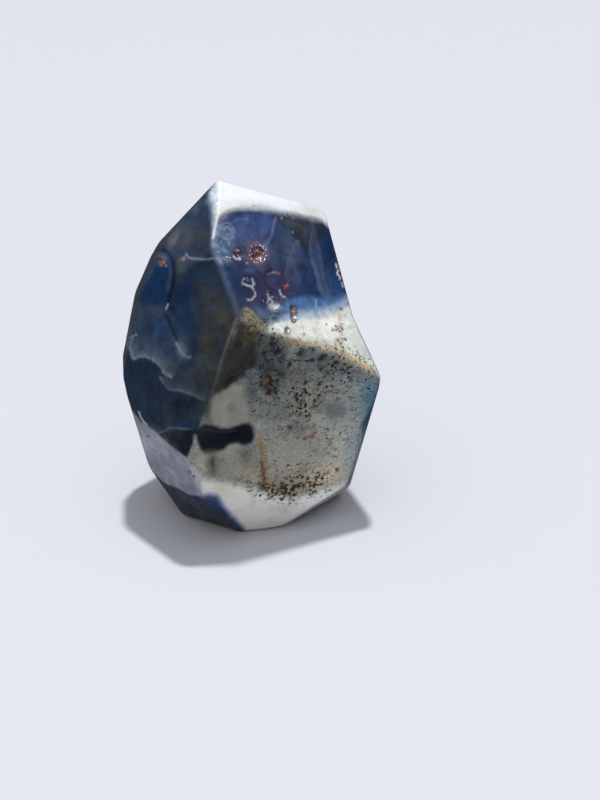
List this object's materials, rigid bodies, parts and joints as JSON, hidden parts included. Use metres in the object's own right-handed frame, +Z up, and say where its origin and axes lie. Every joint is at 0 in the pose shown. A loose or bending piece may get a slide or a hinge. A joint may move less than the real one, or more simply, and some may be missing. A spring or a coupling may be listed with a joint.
{
  "type": "agate freeform",
  "caption": "Free-standing polished stone of blue, white and grey agate, ground flat on many sides, with small open pores and crystal pockets.",
  "frame": {"origin": "on the floor, under the middle of the stone's box, in the plane of its flat base", "axes": "+Z up, the way the stone stands; -Y is the front, with the blue face above and the porous face below; +X is the viewer's right"},
  "size_m": [0.074, 0.0624, 0.099],
  "materials": {
    "polished_agate": "polished agate, a hard waxy shine over milky white, grey and inky blue"
  },
  "bodies": {
    "root": {"agate_stone": "polished_agate"}
  },
  "joints": []
}
